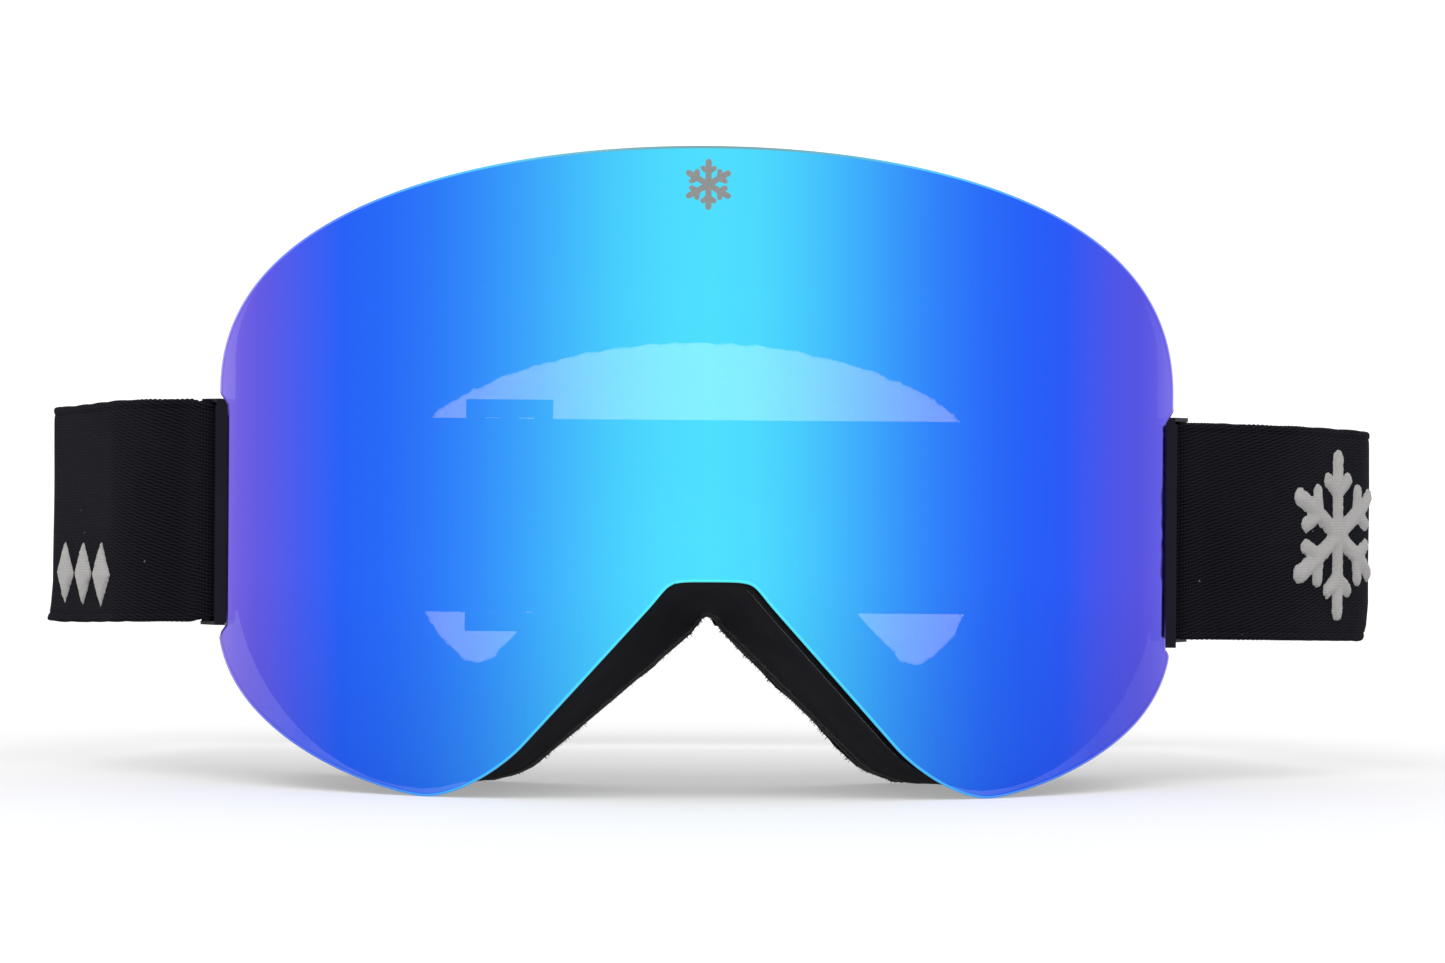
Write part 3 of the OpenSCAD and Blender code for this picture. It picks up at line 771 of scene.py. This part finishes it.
# --------------------------------------------------------------------- strap
STRAP_W, LAYER, SWELL = 40.15, 1.05, 0.45
UV_LIFT = 50    # keeps the weave's coordinates positive
SAG = 1.15
STRAP_LIFT = {"left": 0.25, "right": -0.25}
BAR = np.array([90.0, 63.0])
BAR_WRAP, CLOSE_UP, LEAD_ANGLE = 1.2 + 0.1 + 1.0, 5.0, 12.0
SIDE_ANGLE, CORNER_R, REAR_D = 108.0, 22.0, 175.85
# Sign, reach, heading at the side bend, the first curve's radius, the bend's radius.
SIDES = {"left": (-1, 122.5, 66.0, 18.0, 10.0), "right": (1, 131.0, 50.0, 40.0, 16.0)}
SLIDER_X = {"left": -35.0, "right": 73.0}
SLIDER_BAR_IN = 2 * LAYER - 0.05 + 0.3 + 0.9


def arc(c, r, a0, a1, n):
    a = np.radians(np.linspace(a0, a1, n))
    return np.array(c) + r * np.stack([np.cos(a), np.sin(a)], 1)


def along(a):
    return np.array([math.cos(math.radians(a)), math.sin(math.radians(a))])


def outside(a):
    return np.array([math.sin(math.radians(a)), -math.cos(math.radians(a))])


def route(side, k):
    """Plan path of one strap layer from the arm's bar to the rear run, k outside or inside."""
    _, reach, lead, lead_r, bend = SIDES[side]
    first = BAR + CLOSE_UP * along(LEAD_ANGLE) - lead_r * outside(LEAD_ANGLE)
    start = first + lead_r * outside(lead)
    bx = reach - 2 * LAYER + 0.05 - bend
    run = (bx - start[0]) / along(lead)[0] + bend * math.tan(math.radians(lead))
    bd = start[1] + run * along(lead)[1] + bend * along(lead)[0]
    out = np.array([bx, bd]) + bend * outside(SIDE_ANGLE)
    run = (REAR_D - CORNER_R + CORNER_R * outside(SIDE_ANGLE)[1] - out[1]) / along(SIDE_ANGLE)[1]
    cx = out[0] + run * along(SIDE_ANGLE)[0] - CORNER_R * along(SIDE_ANGLE)[1]
    t = np.linspace(0, 1, 12)[:-1, None]
    ease = (1 - np.cos(math.pi * t)) / 2
    off = BAR + along(LEAD_ANGLE) * CLOSE_UP * t \
        + outside(LEAD_ANGLE) * np.sign(k) * (BAR_WRAP * (1 - ease) + abs(k) * ease)
    return np.concatenate([
        off,
        arc(first, lead_r + k, LEAD_ANGLE - 90, lead - 90, 24),
        arc((bx, bd), bend + k, lead - 90, SIDE_ANGLE - 90, 30),
        arc((cx, REAR_D - CORNER_R), CORNER_R + k, SIDE_ANGLE - 90, 90, 40)])


def resample(path, step):
    path = np.asarray(path, float)
    keep = np.r_[True, np.linalg.norm(np.diff(path, axis=0), axis=1) > 1e-4]
    path = path[keep]
    s = np.r_[0, np.cumsum(np.linalg.norm(np.diff(path, axis=0), axis=1))]
    n = max(4, int(s[-1] / step))
    t = np.linspace(0, s[-1], n + 1)
    out = np.stack([np.interp(t, s, path[:, 0]), np.interp(t, s, path[:, 1])], 1)
    for _ in range(3):
        out[1:-1] = 0.25 * out[:-2] + 0.5 * out[1:-1] + 0.25 * out[2:]
    return out


def height_along(side, path):
    """Middle height of the strap: it sags a little out to the bend, then evens out."""
    d = path[:, 1]
    near = np.clip((d - 62) / 34, 0, 1)
    far = np.clip((d - 96) / 74, 0, 1)
    far = far * far * (3 - 2 * far)
    start = ARM_Z[side] + STRAP_LIFT[side]
    low = start - SAG
    return start + (low - start) * near + (REAR_Z - low) * far


def frames(path):
    s = np.r_[0, np.cumsum(np.linalg.norm(np.diff(path, axis=0), axis=1))]
    t = np.gradient(path, axis=0)
    t /= np.linalg.norm(t, axis=1)[:, None]
    return s, t, np.stack([t[:, 1], -t[:, 0]], 1)


def section():
    """Half of the strap's section from the bottom up: heights and half thicknesses."""
    w = STRAP_W / 2
    zs = [-w, -w + 0.12, -w + 0.35, -w + 0.8, -w + 1.25, -w + 1.5, -w + 1.8]
    ts = [0.0, 0.62, 0.95, 1.05, 0.95, 0.8, 0.93]
    zs += list(np.linspace(-w + 3, w - 3, 9))
    ts += [0.97] * 9
    zs += [-z for z in zs[6::-1]]
    ts += ts[6::-1]
    return zs, ts


def outward_fixed(ob):
    """Faces of a closed piece turned to face out."""
    bm = bmesh.new()
    bm.from_mesh(ob.data)
    bmesh.ops.recalc_face_normals(bm, faces=bm.faces)
    bm.to_mesh(ob.data)
    bm.free()
    return ob


def spread(path):
    """The left webbing is squeezed a little where it passes between the arm's end plates."""
    x, d = -path[:, 0], path[:, 1]
    out = np.clip((x - 91.2) / 2.5, 0, 1) * np.clip((150 - d) / 40, 0, 1)
    return SWELL * out * out * (3 - 2 * out)


def ribbon(name, path, middle=None, s0=0.0, curl=None, seed=0.0, wave=0.18):
    """Strap along a plan path: corded edges, scalloped rim, slightly uneven face."""
    path = resample(path, 0.5)
    s, _, n = frames(path)
    mid = np.full(len(s), REAR_Z) if middle is None else middle(path)
    zs, ts = section()
    front = list(zip(zs, ts))
    back = [(z, -t) for z, t in front[-2:0:-1]]
    loop = front + back
    rows, uvs = [], []
    for z, t in loop:
        rim = max(0.0, abs(z) - (STRAP_W / 2 - 1.3)) / 1.3
        scallop = 0.14 * rim * np.sin(2 * math.pi * (s + s0) / 0.95)
        dz = np.sign(z) * scallop + spread(path) * z / (STRAP_W / 2)
        bulge = t + 0.05 * rim * np.sin(2 * math.pi * (s + s0) / 0.95 + 1.2) * np.sign(t)
        at = path + n * bulge[:, None]
        if curl is not None:
            at = at + curl(s, z, path, n)
        lift = wave * np.array([noise.noise(Vector((a / 14 + seed, z / 16, seed))) for a in s + s0])
        at = at + n * lift[:, None]
        rows.append(place(at[:, 0], at[:, 1], mid + z + dz))
        across = z + UV_LIFT + (0 if t >= 0 else 0.003)
        uvs.append(np.stack([(s + s0) * MM, np.full(len(s), across * MM)], 1))
    cols, count = len(s), len(loop)
    pts = np.concatenate(rows)
    uv = np.concatenate(uvs)
    faces = grid_faces(count, cols, False)
    faces.append([j * cols for j in range(count)][::-1])
    faces.append([j * cols + cols - 1 for j in range(count)])
    return outward_fixed(mesh_piece(name, pts, faces, mats=(ELASTIC,), uv=uv))


def mirror_x(path, sign):
    return np.asarray(path) * [sign, 1]


def hinge_blend(ob):
    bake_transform(ob)


def corner_curl(side):
    """The fold's lower corner pulls in a little, as a soft strap does."""
    reach = SIDES[side][1]

    def move(s, z, path, n):
        near = np.exp(-((np.abs(path[:, 0]) - reach) / 7) ** 2)
        low = max(0.0, (-z - 13) / 7) ** 2
        return -n * (near * low * 1.1)[:, None]
    return move


REAR_JOIN = {"left": 80.0, "right": 85.0}
for side in SIDES:
    sign = SIDES[side][0]
    path = np.concatenate([[[REAR_JOIN[side], REAR_D - LAYER]], route(side, -LAYER)[::-1],
                           arc(BAR, BAR_WRAP, LEAD_ANGLE + 95, LEAD_ANGLE + 265, 24),
                           route(side, LAYER),
                           [[REAR_JOIN[side], REAR_D + LAYER]]])
    ob = ribbon(side + "_strap_loop", mirror_x(path, sign),
                middle=partial(height_along, side), curl=corner_curl(side), seed=2.0 * sign)
    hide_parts(side + "_strap")
    hinge_blend(ob)

band = ribbon("rear_strap_band", [(-REAR_JOIN["left"], REAR_D + LAYER),
                                  (REAR_JOIN["right"], REAR_D + LAYER)],
              s0=400.0, wave=0.12)
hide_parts("rear_strap")
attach(band, "frame")

# Each tail runs from the loop to its slider's middle bar, round it and back; the
# stretch between the loop and the slider follows both.
TAIL_BACK = {"left": 10.0, "right": 2.5}
for side in SIDES:
    sign, x = SIDES[side][0], abs(SLIDER_X[side])
    bar_d = REAR_D - SLIDER_BAR_IN
    gap = SLIDER_BAR_IN - LAYER
    path = np.concatenate([[[REAR_JOIN[side], REAR_D - LAYER]],
                           arc((x - 1.1, bar_d), gap, 90, 270, 24),
                           [[x + TAIL_BACK[side], bar_d - gap]]])
    ob = ribbon(side + "_strap_tail", mirror_x(path, sign), s0=200.0, wave=0.05)
    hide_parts(side + "_inner_strap")
    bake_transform(ob)


# ---------------------------------------------------------------- embroidery
STITCH_STEP = 0.4


def to_segments(point, segments):
    best = 1e9
    for (ax, ay), (bx, by), half in segments:
        a, b = np.array([ax, ay]), np.array([bx, by])
        t = np.clip(np.dot(point - a, b - a) / max(1e-9, np.dot(b - a, b - a)), 0, 1)
        best = min(best, np.linalg.norm(point - a - t * (b - a)) - half)
    return -best


def flake(cx, cz, size, half, turn=0.0):
    """A plain six-armed snow star made of strokes."""
    out = []
    for k in range(6):
        a = math.radians(60 * k + 30 + turn)
        d = np.array([math.cos(a), math.sin(a)])
        c = np.array([cx, cz])
        out.append((tuple(c), tuple(c + d * size), half))
        for s in (-1, 1):
            b = a + s * math.radians(55)
            e = np.array([math.cos(b), math.sin(b)])
            out.append((tuple(c + d * size * 0.55), tuple(c + d * size * 0.55 + e * size * 0.3),
                        half * 0.85))
    return out


def diamond(point, cx, cz, w, h):
    return (1 - abs(point[0] - cx) / w - abs(point[1] - cz) / h) * w * h / math.hypot(w, h)


def stitched(name, side, inside, s_range, z_range, height=1.0):
    """Raised satin stitch on the strap's face; inside(point) is the distance to the edge."""
    sign, step = SIDES[side][0], STITCH_STEP
    path = resample(route(side, LAYER), step)
    s, _, n = frames(path)
    ss = np.arange(s_range[0], s_range[1], step)
    zz = np.arange(z_range[0], z_range[1], step)
    pts, uv, index, faces = [], [], {}, []

    def value(a, z):
        ragged = 0.28 * noise.noise(Vector((a * 1.3, z * 1.9, 4.0 + sign)))
        return inside(np.array([a, z])) + ragged

    def vertex(i, j, top):
        key = (i, j, top)
        if key not in index:
            a, z = s_range[0] + i * step, z_range[0] + j * step
            v = max(0.0, value(a, z))
            rise = height * min(1.0, math.sqrt(v / 1.5)) if v > 0 else 0.0
            rows = 0.12 * noise.noise(Vector((a / 0.9, z / 0.5, 7)))
            up = 0.75 + (rise + rows * (rise > 0.3) if top else -0.25)
            base = np.array([np.interp(a, s, path[:, 0]), np.interp(a, s, path[:, 1])])
            nn = np.array([np.interp(a, s, n[:, 0]), np.interp(a, s, n[:, 1])])
            q = base + nn / np.linalg.norm(nn) * up
            index[key] = len(pts)
            pts.append(place(sign * q[0], q[1], z))
            uv.append((a * MM, z * MM))
        return index[key]

    cells = {(i, j) for i in range(len(ss) - 1) for j in range(len(zz) - 1)
             if value(ss[i] + step / 2, zz[j] + step / 2) > 0}
    for i, j in sorted(cells):
        quad = [(i, j), (i + 1, j), (i + 1, j + 1), (i, j + 1)]
        faces.append([vertex(*c, True) for c in quad])
        faces.append([vertex(*c, False) for c in quad[::-1]])
        for (p, q), nb in zip(zip(quad, quad[1:] + quad[:1]),
                              ((i, j - 1), (i + 1, j), (i, j + 1), (i - 1, j))):
            if nb not in cells:
                faces.append([vertex(*p, True), vertex(*p, False), vertex(*q, False),
                              vertex(*q, True)])
    ob = mesh_piece(name, np.array(pts), faces, mats=(THREAD,), uv=np.array(uv))
    outward_fixed(ob)
    hinge_blend(ob)
    return ob


def run_to(side, x):
    """Distance along the outer layer at which it first reaches x."""
    path = resample(route(side, LAYER), STITCH_STEP)
    s, _, _ = frames(path)
    return float(s[np.argmax(path[:, 0] >= x)])


star_s = run_to("right", 121.5)
star = flake(star_s, 46.0, 14.4, 1.9)
stitched("right_embroidery", "right", lambda p: to_segments(p, star),
         (star_s - 17.5, star_s + 17.5), (28.6, 63.4))
gem_s = run_to("left", 109.8)
gems = [(gem_s + k * 10.2, 37.2) for k in range(3)]
stitched("left_embroidery", "left", lambda p: max(diamond(p, x, z, 4.6, 6.2) for x, z in gems),
         (gem_s - 6, gem_s + 27), (30, 44.6), height=1.1)


# ----------------------------------------------------------------- lens mark
def lens_mark():
    step, half, cx, cz = 0.12, 4.6, -0.5, 106.6
    strokes = flake(cx, cz, 3.9, 0.52)
    pts, faces, index = [], [], {}
    n = 76
    grid = [[to_segments(np.array([cx - half + i * step, cz - half + j * step]), strokes)
             for j in range(n + 1)] for i in range(n + 1)]

    def vertex(i, j, lift):
        if (i, j, lift) not in index:
            x, z = cx - half + i * step, cz - half + j * step
            index[(i, j, lift)] = len(pts)
            pts.append(place(x, depth_at(LENS_R, LENS_R + lift, x), z))
        return index[(i, j, lift)]

    cells = {(i, j) for i in range(n) for j in range(n)
             if sum(grid[a][b] for a, b in ((i, j), (i + 1, j), (i + 1, j + 1), (i, j + 1))) > 0}
    for i, j in sorted(cells):
        quad = [(i, j), (i + 1, j), (i + 1, j + 1), (i, j + 1)]
        faces.append([vertex(*c, 0.05) for c in quad])
        faces.append([vertex(*c, 0.005) for c in quad[::-1]])
        for (p, q), nb in zip(zip(quad, quad[1:] + quad[:1]),
                              ((i, j - 1), (i + 1, j), (i, j + 1), (i - 1, j))):
            if nb not in cells:
                faces.append([vertex(*p, 0.05), vertex(*p, 0.005), vertex(*q, 0.005),
                              vertex(*q, 0.05)])
    ob = mesh_piece("lens_mark", np.array(pts), faces, smooth=False, mats=(PRINT,))
    outward_fixed(ob)
    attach(ob, "lens")


lens_mark()

# ------------------------------------------------------------- floor and light
SOFTBOX, SOFTBOX_TILT, FLOOR_GLOW = 1.5, 40.0, 0.35


def floor():
    """Pale paper sweep, its colour painted lighter away from the goggles as painted light; it also
    glows evenly.
    """
    me = bpy.data.meshes.new("floor")
    half = 12
    corners = [(-half, -half, 0), (half, -half, 0), (half, half, 0), (-half, half, 0)]
    me.from_pydata(corners, [], [(0, 1, 2, 3)])
    m = Shade("floor", (0.8, 0.8, 0.8), 0.9, Specular_IOR_Level=0.1)
    away = m.node("VectorMath")
    away.operation = "LENGTH"
    m.link(m.coords(), away.inputs[0])
    far = m.math("DIVIDE", away.outputs["Value"], 4.0, True)
    lit = WORLD + SOFTBOX * math.cos(math.radians(SOFTBOX_TILT)) / math.pi
    near, middle, out = ((glow - FLOOR_GLOW) / lit for glow in (1.0, 1.07, 1.18))
    m.set("Emission Color", (1, 1, 1, 1))
    m.set("Emission Strength", FLOOR_GLOW)
    # Painted light: the base colour ramps lighter with distance from the goggles.
    m.to(m.ramp(far, [(0.05, (near, near, near)), (0.16, (middle, middle, middle)),
                      (0.5, (out, out, out))]), "Base Color")
    m.bump(m.noise(m.coords(), 400, 2), 0.00002, 0.2)
    me.materials.append(m.mat)
    ob = bpy.data.objects.new("floor", me)
    bpy.context.collection.objects.link(ob)


floor()
key = bpy.data.objects.new("key", bpy.data.lights.new("key", "AREA"))
key.data.shape, key.data.size, key.data.energy = "DISK", 0.9, 2.5
key.location = (-0.7, -0.9, 1.5)
key.rotation_euler = (Vector((0, 0, 0.05)) - key.location).to_track_quat("-Z", "Y").to_euler()
bpy.context.collection.objects.link(key)
box = bpy.data.objects.new("softbox", bpy.data.lights.new("softbox", "SUN"))
box.data.energy, box.data.angle = SOFTBOX, math.radians(60)
box.location = (0, -1.5, 1.8)
box.rotation_euler = (math.radians(SOFTBOX_TILT), 0, 0)
bpy.context.collection.objects.link(box)
world = bpy.data.worlds.new("studio")
world.use_nodes = True
world.node_tree.nodes["Background"].inputs["Color"].default_value = (1, 1, 1, 1)
world.node_tree.nodes["Background"].inputs["Strength"].default_value = WORLD
bpy.context.scene.world = world

FOCAL, ROLL = 122.8, 0.4
cam = bpy.data.cameras.new("camera")
cam.sensor_width, cam.lens = 36.0, FOCAL
camera = bpy.data.objects.new("camera", cam)
camera.location = (-0.0318, -0.9394, 0.0554)
turn = Vector((0.0401, 0.9992, 0)).to_track_quat("-Z", "Y").to_matrix().to_4x4()
camera.rotation_euler = (turn @ Matrix.Rotation(math.radians(ROLL), 4, "Z")).to_euler()
bpy.context.collection.objects.link(camera)
bpy.context.scene.camera = camera
bpy.context.scene.view_settings.view_transform = "Standard"
